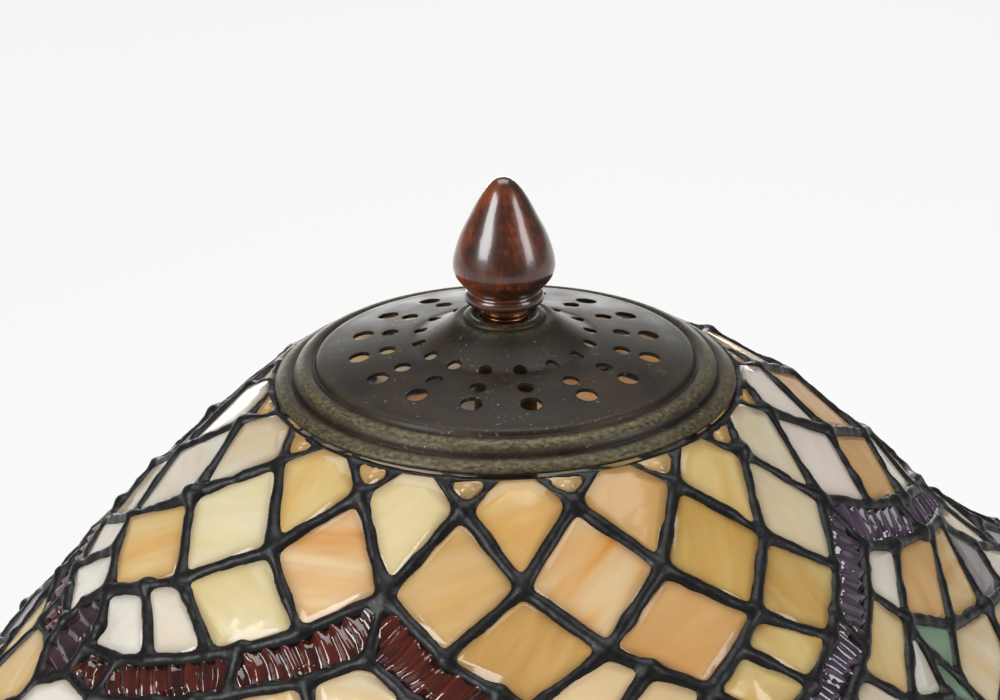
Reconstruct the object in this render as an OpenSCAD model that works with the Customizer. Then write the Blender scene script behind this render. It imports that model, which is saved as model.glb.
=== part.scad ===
// Table lamp: a four-lobed shade of copper-foiled glass under a pierced cap, on a turned stem and a weighted
// foot, with two pull-chain sockets and a finial that clamps the shade.
// The origin is on the table under the lamp's axis. +Z is up and -Y is the front. Sizes are in millimetres.

/* [Shade] */
// Radius of the cap's edge, where the glass begins
rim_r = 51; // [46:0.5:62]
// Length of the glass from rim to hem down the crest of a lobe
crest_len = 230; // [190:1:280]
// Length of the glass from rim to hem down the hollow between two lobes
hollow_len = 205; // [170:1:250]
// Direction of the front hollow, in degrees to the right of the front
shade_turn = -20.15; // [-45:0.05:45]
// Thickness of the glass
glass_t = 3; // [2.4:0.1:4]
// Width of the lead line between two pieces of glass
came_w = 3.4; // [2.6:0.1:4.2]
// Height of the solder bead over the glass, outside
bead_out = 1.2; // [0.8:0.1:1.8]
// Height of the solder bead over the glass, inside
bead_in = 0.8; // [0.5:0.1:1.4]
// Gap all round each piece of glass
glass_gap = 0.05; // [0.03:0.01:0.1]
// Diameter of the wire along the hem
hem_wire_d = 2.4; // [1.6:0.1:3]

/* [Cap and finial] */
// Thickness of the spun cap
cap_t = 1.3; // [0.9:0.1:2]
// Height of the cap's flat top above its edge
cap_top = 15; // [13.5:0.5:18]
// Number of vent holes in each of the three rings
vents = 16; // [8:1:18]
// Gap between the finial and the cap, which shows the thread
finial_rise = 3; // [0:0.1:4]
// Height of the finial
finial_h = 28.4; // [25:0.1:36]
// Radius of the finial at its widest
finial_r = 11.2; // [10.5:0.1:14]

/* [Pipe and stem] */
// Radius of the threaded pipe (M10)
pipe_r = 4.9; // [4:0.1:6]
// Bore of the threaded pipe
pipe_bore_r = 3.4; // [2.5:0.1:3.8]
// Gap around the pipe in everything that it passes through
pipe_gap = 0.3; // [0.2:0.05:0.5]
// Height of the stem
stem_h = 294; // [240:1:360]
// Radius of the stem at its bulge
stem_r = 27; // [22:0.5:36]
// Height of the hub that carries the sockets
hub_h = 34; // [30:1:42]
// Height of the spacer tube from the hub to the shade's seat
spacer_h = 165.5; // [150:0.5:200]

/* [Foot] */
// Radius of the foot
foot_r = 95; // [78:1:120]
// Height of the foot above its felt
foot_h = 56; // [48:1:70]
// Wall of the cast foot
foot_wall = 3.5; // [2.5:0.1:5]
// Thickness of the felt
felt_t = 2; // [1:0.5:4]
// Thickness of the iron weight
weight_t = 14; // [8:1:18]

/* [Sockets and bulbs] */
// Tilt of each socket from upright
socket_tilt = 35; // [28:1:42]
// Radius of the bulb's screw base (E26)
screw_r = 13; // [10.5:0.1:16]
// Gap between the bulb's base and the screw shell
screw_gap = 0.15; // [0.1:0.05:0.3]
// Radius of the bulb's glass
bulb_r = 24; // [22:0.5:26]
// Length of the bulb's glass
bulb_h = 62; // [54:1:64]
// Wall of the bulb's glass
bulb_wall = 1; // [0.6:0.1:1.5]
// Radius of the balls in the pull chain
chain_r = 1.2; // [0.9:0.1:1.4]
// Number of balls in the pull chain
chain_balls = 26; // [18:1:34]

/* [Hidden] */
$fn = 64;
bore_r = pipe_r + pipe_gap;
foot_z = felt_t;
stem_z = foot_z + foot_h;
hub_z = stem_z + stem_h;
spacer_z = hub_z + hub_h;
seat_t = 2;
seat_r = 10;
seat_nut_t = 3;
seat_z = spacer_z + spacer_h - seat_nut_t;
cap_seat = cap_top - cap_t;
seat_gap = 0.05;
rim_z = seat_z + seat_nut_t + seat_t + seat_gap - cap_seat;
boss_ring_h = 0.8;
finial_z = rim_z + cap_top + boss_ring_h + finial_rise;
finial_bore_h = 14.4;
thread_in_finial = 10;
pipe_top = finial_z + thread_in_finial;
insert_r = 6.5;
nut_r = 8.1;
base_nut_t = 3;
base_washer_t = 1.5;
base_washer_r = 12;
weight_z = foot_z + 8;
felt_hole_r = 20;
pipe_z = weight_z - base_washer_t - base_nut_t - 1.5;
sides = ["left", "right"];
function side_sign(side) = side == "left" ? -1 : 1;

glass_nodes = ["rim_glass", "lattice_glass", "shoulder_glass", "ribbon_glass", "crest_glass", "field_glass",
    "leaf_glass", "petal_glass", "blossom_glass", "belt_glass", "hem_glass"];
socket_nodes = ["nipple", "socket_cap", "socket_shell", "socket_liner", "socket_core", "screw_shell",
    "centre_contact", "chain_guide", "pull_chain", "chain_knob", "bulb_base", "bulb_glass"];

// ---- The shade's surface -------------------------------------------------------------------------------
// A point of the shade is [angle, row]. The angle runs from the middle of a hollow, and the row is the
// distance down the surface on the shade as drawn: the hem is row 230 on a crest and 205 in a hollow.
lobes = 4;
lobe_angle = 360 / lobes;
half_lobe = lobe_angle / 2;
drawn_crest = 230;
drawn_hollow = 205;
// Steepness in degrees at rows down the crest and down the hollow
crest_slope = [[0, 30], [25, 35], [42, 45], [68, 47], [95, 35], [115, 29], [135, 31], [165, 50], [195, 69],
    [230, 80]];
hollow_slope = [[0, 47], [20, 42], [50, 48], [90, 53], [125, 50], [150, 58], [175, 68], [205, 82], [230, 82]];

// Running sums of the slope give the distance out and the drop at each row
function run(slope, rows) = [for (i = 0, r = 0, z = 0; i <= rows;
    r = r + cos(lookup(i + 0.5, slope)), z = z - sin(lookup(i + 0.5, slope)), i = i + 1) [i, r, z]];
function column(table, c) = [for (row = table) [row[0], row[c]]];
crest_run = run(crest_slope, 240);
hollow_run = run(hollow_slope, 240);
crest_out = column(crest_run, 1);
crest_drop = column(crest_run, 2);
hollow_out = column(hollow_run, 1);
hollow_drop = column(hollow_run, 2);
crest_scale = crest_len / drawn_crest;
hollow_scale = hollow_len / drawn_hollow;

// How much of a crest there is at an angle: 0 in the hollow, 1 on the crest
function crest_share(angle) = (1 - cos(lobes * angle)) / 2;
function mix(low, high, share) = low + (high - low) * share;
function hem_row(angle) = mix(drawn_hollow, drawn_crest, crest_share(angle));
// A row counted up from the hem
function up(angle, rise) = [angle, hem_row(angle) - rise];
function skin(angle, row) =
    let (share = crest_share(angle),
        r = rim_r + mix(hollow_scale * lookup(row, hollow_out), crest_scale * lookup(row, crest_out), share),
        z = rim_z + mix(hollow_scale * lookup(row, hollow_drop), crest_scale * lookup(row, crest_drop), share),
        turn = angle + shade_turn)
    [r * sin(turn), -r * cos(turn), z];
function unit(v) = v / norm(v);
function outward(angle, row) = unit(cross(skin(angle + 0.5, row) - skin(angle - 0.5, row),
    skin(angle, row - 0.5) - skin(angle, row + 0.5)));

// ---- The pattern ---------------------------------------------------------------------------------------
// The glass is drawn on half a lobe, from the middle of the hollow (0) to the crest (45), and mirrored.
edge_row = 0.8;
net = half_lobe / 4;
row_1 = 8.5;
row_2 = 26.3;
row_3 = 40.9;
row_4 = 53.4;
foot_of_triangle = 7;
peak = [0, 28];

// Ribbon: its upper and lower lines from the peak in the hollow to the jewel on the crest
top_1 = [net, 40.2];
top_joint = [18.8, 47.4];
top_2 = [2 * net, 51.2];
top_3 = [30.5, 58.5];
top_4 = [35, 62];
top_5 = [41, 65];
low_0 = [0, 42];
low_1 = [8, 49];
low_joint = [18, 57.5];
low_3 = [21.5, 60.5];
low_4 = [26.5, 64.8];
low_5 = [35, 71.5];
low_6 = [41.3, 71.5];
jewel_top = [half_lobe, row_4];
jewel_side = [41.3, 59.5];
jewel_foot = [half_lobe, 78];

// Blossom on the crest: eight petals round an eight-sided heart
blossom = [half_lobe, 118];
blossom_heart = 9;
blossom_waist = 27;
blossom_tip = 34;
degrees_per_mm = 0.4;
function blossom_point(radius, turn) =
    [blossom[0] - radius * degrees_per_mm * sin(turn), blossom[1] - radius * cos(turn)];
function waist(i) = blossom_point(blossom_waist, 22.5 + 45 * i);
function heart(i) = blossom_point(blossom_heart, 22.5 + 45 * i);
function tip(i) = blossom_point(blossom_tip, 45 * i);

// The fan under the ribbon: pieces that spread from two joints a little off the hollow's middle line
fan = [-4.2, 59];
fan_hub = [5.5, 70.5];
fan_low = [-15, 72.5];
leaf_top = [-5, 66];
leaf_side = [-7.5, 77];
leaf_stalk = [-1.8, 77];
leaf_end = [0, 91];
petal_top = [17, 80.5];
petal_end = [25.5, 89];
petal_side = [30.5, 80.5];
field_1 = [12.5, 90];
field_2 = [23, 103];
spray_top = [0, 101];
spray_1 = [9, 104];
spray_2 = [18, 117];
spray_tip = [20, 134];
spray_3 = [9, 126];
kite_end = [0, 134];
field_3 = [26, 144];

// Belt and hem: the same five joints on each half of a lobe
belt_angles = [0, 10, 19, 27, 36, half_lobe];
belt_top = 48;
belt_low = 34;

// Outlines for each kind of glass. "side" outlines are mirrored about the hollow, "hollow" outlines are half
// outlines that close over the hollow's middle line, and "crest" outlines close over the crest's.
side_glass = [
    ["rim_glass", [[net - foot_of_triangle, edge_row], [net, row_1], [net + foot_of_triangle, edge_row]]],
    ["rim_glass", [[3 * net - foot_of_triangle, edge_row], [3 * net, row_1],
        [3 * net + foot_of_triangle, edge_row]]],
    ["lattice_glass", [[net + foot_of_triangle, edge_row], [net, row_1], [2 * net, row_2], [3 * net, row_1],
        [3 * net - foot_of_triangle, edge_row]]],
    ["lattice_glass", [[net, row_1], peak, top_1, [2 * net, row_2]]],
    ["lattice_glass", [[3 * net, row_1], [2 * net, row_2], [3 * net, row_3], [half_lobe, row_2]]],
    ["lattice_glass", [[2 * net, row_2], top_1, top_joint, top_2, [3 * net, row_3]]],
    ["shoulder_glass", [[3 * net, row_3], top_2, top_3, [38.5, 46.5]]],
    ["shoulder_glass", [[38.5, 46.5], top_3, top_4, top_5, jewel_side, jewel_top]],
    ["ribbon_glass", [peak, low_0, low_1, low_joint, top_joint, top_1]],
    ["ribbon_glass", [top_joint, low_joint, low_3, low_4, low_5, top_4, top_3, top_2]],
    ["ribbon_glass", [top_4, low_5, low_6, top_5]],
    ["field_glass", [low_5, low_4, petal_side, tip(1)]],
    ["field_glass", [low_6, low_5, tip(1), waist(0), tip(0), jewel_foot]],
    ["field_glass", [petal_side, petal_end, field_2, waist(1), tip(1)]],
    ["field_glass", [petal_top, field_1, spray_1, field_2, petal_end]],
    ["field_glass", [field_2, spray_2, tip(2), waist(1)]],
    ["field_glass", [spray_1, spray_2, field_2]],
    ["field_glass", [spray_2, spray_tip, field_3, tip(3), waist(2), tip(2)]],
    ["petal_glass", [low_4, petal_top, petal_end, petal_side]],
    ["leaf_glass", [spray_top, spray_3, spray_tip, spray_2, spray_1]],
    ["field_glass", [kite_end, up(0, belt_top), up(10, belt_top), spray_3]],
    ["field_glass", [spray_3, up(10, belt_top), up(19, belt_top), spray_tip]],
    ["field_glass", [spray_tip, up(19, belt_top), up(27, belt_top), field_3]],
    ["field_glass", [field_3, up(27, belt_top), up(36, belt_top), tip(3)]],
    ["field_glass", [tip(3), up(36, belt_top), up(half_lobe, belt_top), tip(4), waist(3)]],
];
side_petals = [for (i = [0:2]) ["petal_glass", [heart(i), waist(i), tip(i + 1), waist(i + 1), heart(i + 1)]]];
side_belt = [for (i = [0:len(belt_angles) - 2]) let (a = belt_angles[i], b = belt_angles[i + 1])
    ["belt_glass", [up(a, belt_top), up(a, belt_low), up(b, belt_low), up(b, belt_top)]]];
side_hem = [for (i = [0:len(belt_angles) - 2]) let (a = belt_angles[i], b = belt_angles[i + 1])
    ["hem_glass", [up(a, belt_low), up(a, 0), up(b, 0), up(b, belt_low)]]];
hollow_glass = [
    ["lattice_glass", [[net - foot_of_triangle, edge_row], [net, row_1], peak]],
    ["field_glass", [leaf_end, field_1, spray_1, spray_top]],
    ["field_glass", [spray_top, spray_3, kite_end]],
];
crest_glass_list = [
    ["lattice_glass", [[3 * net + foot_of_triangle, edge_row], [3 * net, row_1], [half_lobe, row_2]]],
    ["lattice_glass", [[half_lobe, row_2], [3 * net, row_3], [38.5, 46.5], jewel_top]],
    ["crest_glass", [jewel_top, jewel_side, top_5, low_6, jewel_foot]],
    ["petal_glass", [tip(0), waist(0), heart(0)]],
    ["blossom_glass", [for (i = [0:3]) heart(i)]],
    ["petal_glass", [heart(3), waist(3), tip(4)]],
];

function across(p) = [-p[0], p[1]];
// The fan isn't mirrored: it is the same way round in every hollow
fan_glass = [
    ["field_glass", [low_0, low_1, fan, across(low_1)]],
    ["field_glass", [low_1, low_joint, low_3, fan_hub, fan]],
    ["field_glass", [low_3, low_4, petal_top, fan_hub]],
    ["field_glass", [fan_hub, petal_top, field_1, leaf_end, leaf_stalk]],
    ["leaf_glass", [fan, fan_hub, leaf_stalk, leaf_top]],
    ["leaf_glass", [leaf_top, leaf_stalk, leaf_end, leaf_side]],
    ["field_glass", [fan, leaf_top, leaf_side, fan_low]],
    ["field_glass", [fan_low, leaf_side, leaf_end, across(field_1), across(petal_top)]],
    ["field_glass", [across(low_1), fan, fan_low, across(low_3), across(low_joint)]],
    ["field_glass", [across(low_3), fan_low, across(petal_top), across(low_4)]],
];

function mirrored(points, line) = [for (i = [len(points) - 1:-1:0]) [2 * line - points[i][0], points[i][1]]];
// A half outline closed over a line: points on the line aren't repeated
function closed(points, line) = concat(points,
    [for (p = mirrored(points, line)) if (abs(p[0] - line) > 0.001) p]);
function area(points) = let (n = len(points))
    [for (i = 0, sum = 0; i <= n; sum = sum + (i < n ? points[i][0] * points[(i + 1) % n][1]
        - points[(i + 1) % n][0] * points[i][1] : 0), i = i + 1) sum][n];
// Every outline runs anticlockwise as seen from outside the shade
function reversed(points) = [for (i = [len(points) - 1:-1:0]) points[i]];
function wound(points) = area(points) > 0 ? reversed(points) : points;
one_lobe = concat(
    [for (g = concat(side_glass, side_petals, side_belt, side_hem)) for (flip = [false, true])
        [g[0], wound(flip ? mirrored(g[1], 0) : g[1])]],
    [for (g = fan_glass) [g[0], wound(g[1])]],
    [for (g = hollow_glass) [g[0], wound(closed(g[1], 0))]],
    [for (g = crest_glass_list) [g[0], wound(closed(g[1], half_lobe))]]);
cells = [for (lobe = [0:lobes - 1], g = one_lobe) [g[0], [for (p = g[1]) [p[0] + lobe * lobe_angle, p[1]]]]];

// ---- One piece of glass --------------------------------------------------------------------------------
// Hand-cut joints wander a little: each joint inside the pattern is off its drawn place by up to this much
wander = 0.35;
function on_edge(p) = p[1] < 1 || p[1] > hem_row(p[0]) - 0.01;
function joint(p) = let (seed = round((((p[0] % 360) + 360) % 360) * 8) + round(p[1] * 32) * 3001,
        off = on_edge(p) ? [0, 0] : rands(-wander, wander, 2, seed))
    skin(p[0] + off[0] * degrees_per_mm, p[1] + off[1]);
function mean(points) = [for (p = points) 1] * points / len(points);
function newell(points) = let (n = len(points), c = mean(points))
    unit([for (i = [0:n - 1]) 1] * [for (i = [0:n - 1]) cross(points[i] - c, points[(i + 1) % n] - c)]);
// The flat frame that a piece lies in: its middle, its two directions and its outward side
function frame(points) = let (n = newell(points), x = unit(cross([0, 0, 1], n)))
    [mean(points), x, cross(n, x), n];
function flat(points, f) = [for (p = points) [(p - f[0]) * f[1], (p - f[0]) * f[2]]];
// Moves each side of an outline inwards
function inset(points, by) = let (n = len(points)) [for (i = [0:n - 1])
    let (before = unit(points[i] - points[(i + n - 1) % n]), after = unit(points[(i + 1) % n] - points[i]),
        in_1 = [-before[1], before[0]], in_2 = [-after[1], after[0]])
    points[i] + (in_1 + in_2) * by / (1 + in_1 * in_2)];
function turned(x, y, z, origin) = [[x[0], y[0], z[0], origin[0]], [x[1], y[1], z[1], origin[1]],
    [x[2], y[2], z[2], origin[2]], [0, 0, 0, 1]];

module glass(kind, shade_colour) {
    color(shade_colour) for (cell = cells) if (cell[0] == kind) {
        corners = [for (p = cell[1]) joint(p)];
        f = frame(corners);
        multmatrix(turned(f[1], f[2], f[3], f[0] - f[3] * glass_t / 2))
            linear_extrude(glass_t) polygon(inset(flat(corners, f), came_w / 2 + glass_gap));
    }
}

// ---- Leading -------------------------------------------------------------------------------------------
// Each piece of glass sits in a window. From the window's two edges the solder rises to a ridge on the joints.
function fine(p) = [for (v = p) round(v * 1000) / 1000];
function window(cell) = let (corners = [for (p = cell[1]) joint(p)], f = frame(corners),
        outline = inset(flat(corners, f), came_w / 2))
    [for (side = [1, -1]) [for (q = outline)
        fine(f[0] + f[1] * q[0] + f[2] * q[1] + f[3] * side * glass_t / 2)]];
function ridge(cell) = [for (h = [glass_t / 2 + bead_out, -glass_t / 2 - bead_in])
    [for (p = cell[1]) fine(joint(p) + outward(p[0], p[1]) * h)]];
// Four rings of points for each piece: ridge outside, window outside, window inside, ridge inside
function rings(cell) = let (w = window(cell), r = ridge(cell)) concat(r[0], w[0], w[1], r[1]);
starts = [for (i = 0, sum = 0; i <= len(cells);
    sum = sum + (i < len(cells) ? 4 * len(cells[i][1]) : 0), i = i + 1) sum];
function quad(a, b, c, d) = [[a, b, c], [a, c, d]];
function band(from, to, n) = [for (i = [0:n - 1]) let (j = (i + 1) % n)
    each quad(from + i, to + i, to + j, from + j)];

module leading() {
    points = [for (cell = cells) each rings(cell)];
    faces = [for (i = [0:len(cells) - 1]) let (n = len(cells[i][1]), s = starts[i])
        each concat(band(s, s + n, n), band(s + n, s + 2 * n, n), band(s + 2 * n, s + 3 * n, n))];
    edge_faces = [for (i = [0:len(cells) - 1]) let (c = cells[i][1], n = len(c), s = starts[i])
        for (j = [0:n - 1]) let (k = (j + 1) % n)
            if (on_edge(c[j]) && on_edge(c[k]) && abs(c[j][1] - c[k][1]) < 30)
                each quad(s + j, s + k, s + 3 * n + k, s + 3 * n + j)];
    color("#26241f") polyhedron(points, concat(faces, edge_faces));
}

// Wire soldered along the hem, from joint to joint
module hem_wire() {
    wire_sides = 8;
    wire_gap = 0.3;
    hem = [for (lobe = [0:lobes - 1], half = [0, 1], i = [0:len(belt_angles) - 2])
        lobe * lobe_angle + (half == 0 ? belt_angles[i] : lobe_angle - belt_angles[len(belt_angles) - 1 - i])];
    n = len(hem);
    downs = [for (a = hem) unit(skin(a, hem_row(a)) - skin(a, hem_row(a) - 1))];
    points = [for (i = [0:n - 1]) let (a = hem[i], out = outward(a, hem_row(a)),
            centre = skin(a, hem_row(a)) + downs[i] * (hem_wire_d / 2 + glass_gap + wire_gap))
        for (k = [0:wire_sides - 1])
            let (turn = k * 360 / wire_sides)
            fine(centre + (out * cos(turn) + downs[i] * sin(turn)) * hem_wire_d / 2)];
    faces = [for (i = [0:n - 1], k = [0:wire_sides - 1])
        let (a = i * wire_sides, b = ((i + 1) % n) * wire_sides, m = (k + 1) % wire_sides)
        each quad(a + k, b + k, b + m, a + m)];
    color("#4a4238") polyhedron(points, faces);
}

// ---- Turned shapes -------------------------------------------------------------------------------------
// A smooth line through a few points, four steps to a span
function smooth(p, steps = 4) = let (n = len(p)) concat([for (i = [0:n - 2]) for (j = [0:steps - 1])
    let (t = j / steps, a = p[max(i - 1, 0)], b = p[i], c = p[i + 1], d = p[min(i + 2, n - 1)])
    0.5 * (2 * b + (c - a) * t + (2 * a - 5 * b + 4 * c - d) * t * t + (3 * b - a - 3 * c + d) * t * t * t)],
    [p[n - 1]]);
module turn(profile) { rotate_extrude() polygon(profile); }
module tube(outer, inner, height) {
    difference() {
        cylinder(r = outer, h = height);
        translate([0, 0, -1]) cylinder(r = inner, h = height + 2);
    }
}
module hex_nut(height) {
    difference() {
        cylinder(r = nut_r, h = height, $fn = 6);
        translate([0, 0, -1]) cylinder(r = bore_r, h = height + 2);
    }
}

// ---- Foot ----------------------------------------------------------------------------------------------
module felt_pad() {
    color("#2f4a33") tube(foot_r - 2, felt_hole_r, felt_t);
}
foot_line = [for (p = [[0, 9.5], [7, 12.5], [23, 20], [40, 29.5], [53, 39], [62, 47.5], [68, 53]])
    [foot_r - 3 - p[0], p[1]]];
collar_r = 23;
boss_r = 14;
module foot() {
    outside = concat([[foot_r - 1, 0], [foot_r, 1], [foot_r, 6], [foot_r - 1.5, 8]], smooth(foot_line, 3),
        [[collar_r, foot_h - 2], [collar_r, foot_h]]);
    inside = [[foot_r - foot_wall, 0], [foot_r - foot_wall, 4], [foot_r - foot_wall - 14, 8.5],
        [foot_r - foot_wall - 32, 17], [foot_r - foot_wall - 48, 27], [foot_r - foot_wall - 60, 37],
        [foot_r - foot_wall - 68, 46], [boss_r, 47.5], [boss_r, weight_z + weight_t - foot_z],
        [bore_r, weight_z + weight_t - foot_z], [bore_r, foot_h]];
    color("#3a3028") difference() {
        translate([0, 0, foot_z]) turn(concat(outside, [for (i = [len(inside) - 1:-1:0]) inside[i]]));
        bushing_place() translate([0, 0, -2]) cylinder(r = bushing_r + 0.05, h = bushing_h + 4);
    }
}
bushing_r = 5;
bushing_bore_r = 3.2;
bushing_h = 18;
// The cord's bushing leaves through the back of the foot, level with its rim
module bushing_place() {
    translate([0, foot_r - bushing_h + 1, foot_z + 9.2]) rotate([-90, 0, 0]) children();
}
module cord_bushing() {
    color("#1b1b1b") bushing_place() tube(bushing_r, bushing_bore_r, bushing_h);
}
module weight() {
    color("#555555") translate([0, 0, weight_z]) tube(foot_r - foot_wall - 43, bore_r, weight_t);
}
module base_washer() {
    color("#b8b4aa") translate([0, 0, weight_z - base_washer_t]) tube(base_washer_r, bore_r, base_washer_t);
}
module base_nut() {
    color("#b59a55") translate([0, 0, weight_z - base_washer_t - base_nut_t]) hex_nut(base_nut_t);
}

// ---- Stem and pipe -------------------------------------------------------------------------------------
stem_foot = [[22, 0], [23.5, 3], [23.5, 7], [19, 11], [16, 17], [16.5, 24]];
module stem() {
    k = stem_r / 27;
    bulge = [[21 * k, 38], [stem_r, 58], [24 * k, 80], [15, 104], [11.5, 122]];
    outside = concat(smooth(concat(stem_foot, bulge), 3),
        [[14, 124], [14, 129], [11, 131]],
        smooth([[11, 131], [9.5, 160], [9, stem_h - 80], [9.5, stem_h - 48]], 3),
        [[12.5, stem_h - 46], [12.5, stem_h - 41], [10.5, stem_h - 39]],
        smooth([[10.5, stem_h - 39], [12, stem_h - 24], [17, stem_h - 10], [19, stem_h - 4], [19, stem_h]], 3));
    cavity = [[bore_r, 9], [10, 17], [11, 26], [14 * k, 38], [stem_r - 6, 58], [17 * k, 80], [9.5, 103],
        [bore_r, 114]];
    color("#3a3028") translate([0, 0, stem_z]) difference() {
        turn(concat(outside, [[bore_r, stem_h], [bore_r, 0]]));
        turn(concat([[0, cavity[0][1]]], smooth(cavity, 3), [[0, cavity[len(cavity) - 1][1]]]));
    }
}
module threaded_pipe() {
    color("#9a6a45") translate([0, 0, pipe_z]) tube(pipe_r, pipe_bore_r, pipe_top - pipe_z);
}

// ---- Hub -----------------------------------------------------------------------------------------------
hub_r = 30;
port_x = 20;
port_z = hub_z + hub_h * 0.76;
// A frame with its Z along one socket
module on_socket(side) {
    translate([side_sign(side) * port_x, 0, port_z]) rotate([0, side_sign(side) * socket_tilt, 0]) children();
}
nipple_up = 9;
nipple_down = 9;
module hub() {
    outside = smooth([[17, 0], [25, 3], [hub_r, 11], [hub_r - 1, 19], [22, 28], [15, hub_h - 2],
        [11, hub_h]], 3);
    hollow = [[10, 5], [hub_r - 7, 7], [hub_r - 4, 12], [hub_r - 5, 19], [19, 26], [10, 29]];
    color("#3a3028") difference() {
        translate([0, 0, hub_z]) turn(concat([[bore_r, 0]], outside, [[bore_r, hub_h]]));
        translate([0, 0, hub_z]) turn(hollow);
        for (side = sides) on_socket(side) translate([0, 0, -nipple_down - 2]) cylinder(r = bore_r, h = hub_h);
        for (side = sides) on_socket(side) translate([0, 0, nipple_seat]) cylinder(r = 17, h = hub_h);
    }
}
nipple_seat = 1;
module spacer_tube() {
    color("#4a3b2c") translate([0, 0, spacer_z]) tube(pipe_r + pipe_gap + 1.8, bore_r, spacer_h - seat_nut_t);
}
module seat_nut() {
    color("#b59a55") translate([0, 0, seat_z]) hex_nut(seat_nut_t);
}
module seat_washer() {
    color("#b8b4aa") translate([0, 0, seat_z + seat_nut_t]) tube(seat_r, bore_r, seat_t);
}

// ---- Cap -----------------------------------------------------------------------------------------------
vent_rings = [[18.6, 2.4], [24.8, 1.9], [31.85, 1.55]];
vent_turn = 7.2;
boss_r_low = 20;
step_in = 9.3;
step_z = 4.9;
dome_bend = 333;
function dome_z(r) = step_z + 0.8 + ((rim_r - step_in) * (rim_r - step_in) - r * r) / dome_bend;
module cap() {
    boss_z = dome_z(boss_r_low);
    edge = [[rim_r, 0], [rim_r - 0.4, 0.9], [rim_r - 2.5, 2.2], [rim_r - 3.8, 2.1], [rim_r - 4.9, 2.7],
        [rim_r - 6, 4.1], [rim_r - 7.2, 4.9], [rim_r - 8.6, step_z],
        [rim_r - step_in, dome_z(rim_r - step_in)]];
    dome = [for (i = [1:7]) let (r = mix(rim_r - step_in, boss_r_low, i / 7)) [r, dome_z(r)]];
    boss = [for (p = [[17, 0.2], [14, 0.52], [12, 0.82], [11, 1]]) [p[0], mix(boss_z, cap_top, p[1])]];
    line = concat(edge, dome, boss);
    under = [for (i = [len(line) - 1:-1:2]) [line[i][0] - (i > len(line) - 5 ? 0.6 : 0.3), line[i][1] - cap_t]];
    top = [[9, cap_top], [8.7, cap_top + boss_ring_h], [7, cap_top + boss_ring_h], [6.6, cap_top],
        [bore_r, cap_top], [bore_r, cap_top - cap_t]];
    color("#352d26") difference() {
        translate([0, 0, rim_z]) turn(concat(line, top, under, [[rim_r - 1.2, 0]]));
        for (ring = vent_rings, i = [0:vents - 1])
            rotate([0, 0, shade_turn + vent_turn + i * 360 / vents - 90]) translate([rim_r - ring[0], 0, rim_z])
                cylinder(r = ring[1], h = cap_top + 4);
    }
}

// ---- Finial --------------------------------------------------------------------------------------------
module finial() {
    collar = [[8.3, 0], [8.7, 0.6], [8.7, 1.7], [8, 2.4], [8.2, 3]];
    // Shares of the finial's radius and height
    acorn = [[0.857, 0.162], [0.964, 0.225], [1, 0.31], [0.9375, 0.43], [0.83, 0.549], [0.67, 0.676],
        [0.509, 0.803], [0.335, 0.912], [0.17, 0.979], [0, 1]];
    body = smooth(concat([collar[4]], [for (p = acorn) [p[0] * finial_r, p[1] * finial_h]]));
    bore = [[0, finial_bore_h + 0.6], [insert_r + 0.06, finial_bore_h + 0.6], [insert_r + 0.06, 0]];
    color("#4a1a0c") translate([0, 0, finial_z]) turn(concat(collar, body, bore));
}
module finial_insert() {
    color("#c2a25a") translate([0, 0, finial_z + 0.4]) difference() {
        cylinder(r = insert_r, h = finial_bore_h - 0.4);
        translate([0, 0, -1]) cylinder(r = pipe_r + 0.1, h = finial_bore_h);
    }
}

// ---- Sockets -------------------------------------------------------------------------------------------
cap_in = 16.6;
shell_r = 18.2;
shell_t = 0.5;
shell_z = 19;
shell_h = 40;
core_z = shell_z + 1.5;
core_h = 9;
contact_z = core_z + core_h;
contact_t = 1;
bulb_z = contact_z + contact_t + 0.25;
screw_h = 24;
screw_wall = 0.4;
screw_shell_r = screw_r + screw_gap + screw_wall;
liner_r = shell_r - shell_t - 0.1;
module nipple(side) {
    color("#b59a55") on_socket(side) translate([0, 0, -nipple_down])
        tube(pipe_r, pipe_bore_r, nipple_down + nipple_up);
}
module socket_cap(side) {
    line = smooth([[7.5, nipple_seat + 0.1], [12, 4], [16, 9], [17.5, 14]], 3);
    color("#b08d4a") on_socket(side) turn(concat([[bore_r, nipple_seat + 0.1]], line,
        [[17.5, shell_z - 0.1], [cap_in, shell_z - 0.1], [cap_in, 14], [15, 10], [11, 5.8], [bore_r, 3.6]]));
}
module socket_shell(side) {
    color("#b08d4a") on_socket(side) translate([0, 0, shell_z]) tube(shell_r, shell_r - shell_t, shell_h);
}
module socket_liner(side) {
    color("#8a6b45") on_socket(side) translate([0, 0, core_z]) tube(liner_r, liner_r - 0.8, shell_h - 2.5);
}
module socket_core(side) {
    color("#efe9dc") on_socket(side) translate([0, 0, core_z]) difference() {
        cylinder(r = liner_r - 1, h = core_h);
        translate([0, 0, -1]) cylinder(r = 2, h = core_h + 2);
    }
}
module screw_shell(side) {
    color("#c9a85a") on_socket(side) translate([0, 0, contact_z + 0.05])
        tube(screw_shell_r, screw_shell_r - screw_wall, screw_h + 2);
}
module centre_contact(side) {
    color("#c9a85a") on_socket(side) translate([0, 0, contact_z + 0.05]) cylinder(r = 4, h = contact_t);
}
arm_x = 17.6;
guide_x = shell_r + 9.5;
guide_z = 12;
guide_wall = 1;
guide_h = 16;
chain_gap = 0.5;
guide_r = chain_r + chain_gap + guide_wall;
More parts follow.
